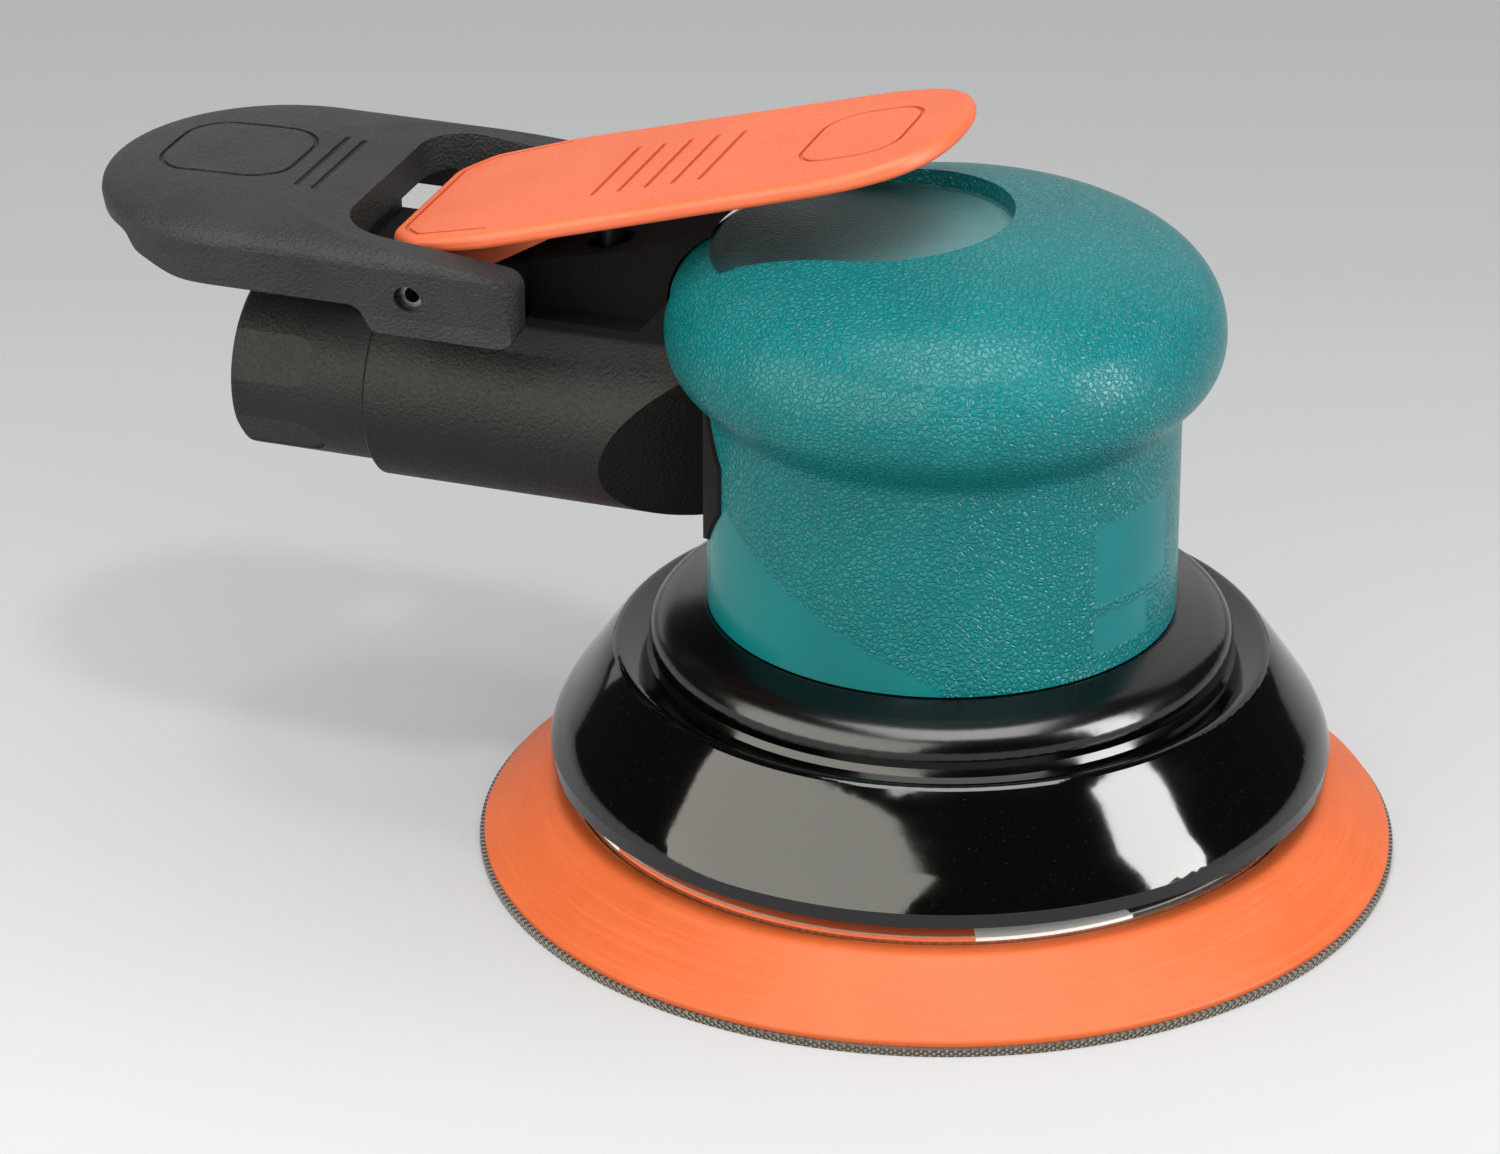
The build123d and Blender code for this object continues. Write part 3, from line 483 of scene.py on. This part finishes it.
def lathe(bm, profile, centre, wobble):
    """Turns a closed profile of (radius, z) about an upright axis; wobble shifts its points by turn."""
    rings = []
    for i in range(LATHE_STEPS):
        turn = 2 * math.pi * i / LATHE_STEPS
        ring = []
        for k, (r, z) in enumerate(profile):
            dr, dz = wobble(turn, k)
            spot = Vector((math.cos(turn) * (r + dr), math.sin(turn) * (r + dr), z + dz))
            ring.append(bm.verts.new(spot + Vector(centre)))
        rings.append(ring)
    count = len(profile)
    for i in range(LATHE_STEPS):
        a, b = rings[i], rings[(i + 1) % LATHE_STEPS]
        for k in range(count):
            m = (k + 1) % count
            bm.faces.new((a[k], b[k], b[m], a[m]))


def rounded(points, radii):
    """A closed outline with each corner rounded to its own radius; 0 leaves it sharp."""
    out = []
    for i, (point, radius) in enumerate(zip(points, radii)):
        before, here, after = Vector(points[i - 1]), Vector(point), Vector(points[(i + 1) % len(points)])
        if radius <= 0:
            out.append(tuple(here))
            continue
        to_before, to_after = (before - here).normalized(), (after - here).normalized()
        reach = radius / math.tan(to_before.angle(to_after) / 2)
        start, end = here + to_before * reach, here + to_after * reach
        for s in range(CORNER_STEPS + 1):
            t = s / CORNER_STEPS
            out.append(tuple((1 - t) ** 2 * start + 2 * t * (1 - t) * here + t * t * end))
    return out


def pad_foam(material):
    """The foam disc: a drafted body with softened edges that is never quite true."""
    bore_r, crown_r, hollow_r, hollow_z = 0.0508, 0.0537, 0.030, 0.00725
    low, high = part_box("pad_foam")
    centre_y = (low.y + high.y) / 2
    base_r, base_z, top_z = (high.x - low.x) / 2 - 0.0004, low.z, high.z
    corners = {
        (bore_r, top_z): 0.0006,
        (crown_r, top_z): 0.0022,
        (base_r, base_z + 0.0009): 0.0006,
        (base_r, base_z): 0.0003,
        (hollow_r, base_z): 0.0,
        (hollow_r, hollow_z): 0.0,
        (bore_r, hollow_z): 0.0002,
    }
    profile = rounded(list(corners), corners.values())

    def wobble(turn, k):
        if profile[k][0] < bore_r + 0.0004:
            return 0.0, 0.0
        wave = math.sin(3 * turn + 0.6) + 0.6 * math.sin(7 * turn + 2.0) + 0.35 * math.sin(19 * turn)
        return 0.00010 * (wave - 1.6), 0.00003 * (wave - 1.9)

    bm = bmesh.new()
    lathe(bm, profile, (0, centre_y, 0), wobble)
    piece = add_mesh("pad_foam_skin", bm, material, "pad")
    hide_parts("pad_foam")


# ---- studio ------------------------------------------------------------------


CAMERA_AT = Vector((0.2337, -0.7385, 0.4092))
CAMERA_TO = Vector((-0.0298, 0.0054, 0.0313))
FOCAL_PIXELS = 6261.27
IMAGE_WIDTH = 1500
SENSOR = 36.0

LIGHT_TARGET = Vector((0, 0, 0.03))
WORLD_STRENGTH = 0.035
# A light is name, azimuth, elevation (degrees), distance, width, height (metres), radiance, colour.
NEUTRAL, WARM, NEAR_WHITE = (1, 1, 1), (1.0, 0.96, 0.86), (1.0, 0.99, 0.97)
TOOL_LIGHTS = (
    ("overhead", 30, 74, 1.5, 1.2, 1.2, 7.3, NEUTRAL),
    ("panel_left", -27, 21, 1.2, 1.78, 1.10, 4.9, WARM),
    ("panel_right", 86, 15, 1.0, 0.36, 0.94, 17.0, NEAR_WHITE),
    ("backdrop_glow", 200, 30, 1.5, 3.0, 1.6, 0.75, NEUTRAL),
)
FLOOR_LIGHTS = (
    ("floor_key_right", 35, 70, 1.5, 0.16, 0.16, 41.0, NEUTRAL),
    ("floor_key_left", -90, 77, 1.5, 0.16, 0.16, 18.0, NEUTRAL),
    ("floor_fill", 0, 88, 1.5, 5.0, 5.0, 1.11, NEUTRAL),
)

FLOOR_HALF = 4.0
FADE_DIRECTION = (-0.334, 0.943)  # the floor's colour darkens this way, from FADE_START to FADE_END: painted light falloff
FADE_START, FADE_END = -0.35, 0.75
FADE_STOPS = ((0.0, 0.88), (0.25, 0.85), (0.30, 0.79), (0.42, 0.60), (0.50, 0.51), (0.60, 0.455), (1.0, 0.40))
COOL_CAST = (1.0, 1.004, 1.01)


def add_camera():
    data = bpy.data.cameras.new("camera")
    data.sensor_width = SENSOR
    data.lens = FOCAL_PIXELS / IMAGE_WIDTH * SENSOR
    data.clip_start, data.clip_end = 0.01, 20.0
    camera = bpy.data.objects.new("camera", data)
    bpy.context.scene.collection.objects.link(camera)
    turn = (CAMERA_AT - CAMERA_TO).to_track_quat("Z", "Y").to_matrix().to_4x4()
    camera.matrix_world = Matrix.Translation(CAMERA_AT) @ turn
    bpy.context.scene.camera = camera


def aim(azimuth, elevation):
    """Unit vector from the tool; azimuth 0 is towards -Y, 90 towards +X."""
    a, e = math.radians(azimuth), math.radians(elevation)
    return Vector((math.sin(a) * math.cos(e), -math.cos(a) * math.cos(e), math.sin(e)))


def add_panel(name, azimuth, elevation, distance, width, height, radiance, colour):
    """A flat soft light that faces the tool, as bright as radiance whatever its size."""
    data = bpy.data.lights.new(name, "AREA")
    data.shape = "RECTANGLE"
    data.size, data.size_y = width, height
    data.energy = math.pi * width * height * radiance
    data.color = colour
    light = bpy.data.objects.new(name, data)
    bpy.context.scene.collection.objects.link(light)
    direction = aim(azimuth, elevation)
    light.matrix_world = (Matrix.Translation(LIGHT_TARGET + direction * distance)
                          @ direction.to_track_quat("Z", "Y").to_matrix().to_4x4())
    return light


def link_floor(light, floor, state):
    """Keeps a light off the floor (EXCLUDE) or on nothing but the floor (INCLUDE)."""
    receivers = bpy.data.collections.new(light.name + "_receivers")
    receivers.objects.link(floor)
    receivers.collection_objects[0].light_linking.link_state = state
    light.light_linking.receiver_collection = receivers


def floor_paper():
    """Pale studio paper, its colour painted darker towards the back as light falloff."""
    s = Shader("studio_floor")
    x, y, _ = s.axes()
    away = s.math("ADD", s.math("MULTIPLY", x, FADE_DIRECTION[0]), s.math("MULTIPLY", y, FADE_DIRECTION[1]))
    stops = [(place, scaled(COOL_CAST, value)) for place, value in FADE_STOPS]
    paper = s.noise(2500.0, 2.0, 0.6)
    # The colour ramp is painted light falloff across the floor.
    s.set(Base_Color=s.ramp(s.span(away, FADE_START, FADE_END), stops), Roughness=0.8,
          Specular_IOR_Level=0.12)
    s.bump((paper, 0.00003, 0.2))
    return s.mat


def add_floor():
    bm = bmesh.new()
    bmesh.ops.create_grid(bm, x_segments=8, y_segments=8, size=FLOOR_HALF)
    mesh = bpy.data.meshes.new("floor")
    bm.to_mesh(mesh)
    bm.free()
    floor = bpy.data.objects.new("floor", mesh)
    bpy.context.scene.collection.objects.link(floor)
    mesh.materials.append(floor_paper())
    return floor


def add_studio():
    """Dim white surroundings, the floor, and lights that reach either the tool or the floor."""
    scene = bpy.context.scene
    world = bpy.data.worlds.new("studio")
    scene.world = world
    world.use_nodes = True
    background = world.node_tree.nodes["Background"]
    background.inputs["Color"].default_value = (1.0, 1.0, 1.0, 1.0)
    background.inputs["Strength"].default_value = WORLD_STRENGTH
    floor = add_floor()
    for state, lights in (("EXCLUDE", TOOL_LIGHTS), ("INCLUDE", FLOOR_LIGHTS)):
        for light in lights:
            link_floor(add_panel(*light), floor, state)
    scene.view_settings.view_transform = "Standard"
    scene.view_settings.look = "None"


# ---- assembly ----------------------------------------------------------------


add_camera()
MATERIALS = make_materials()
dress_nodes(MATERIALS)
pad_foam(MATERIALS["pad_orange"])
add_studio()
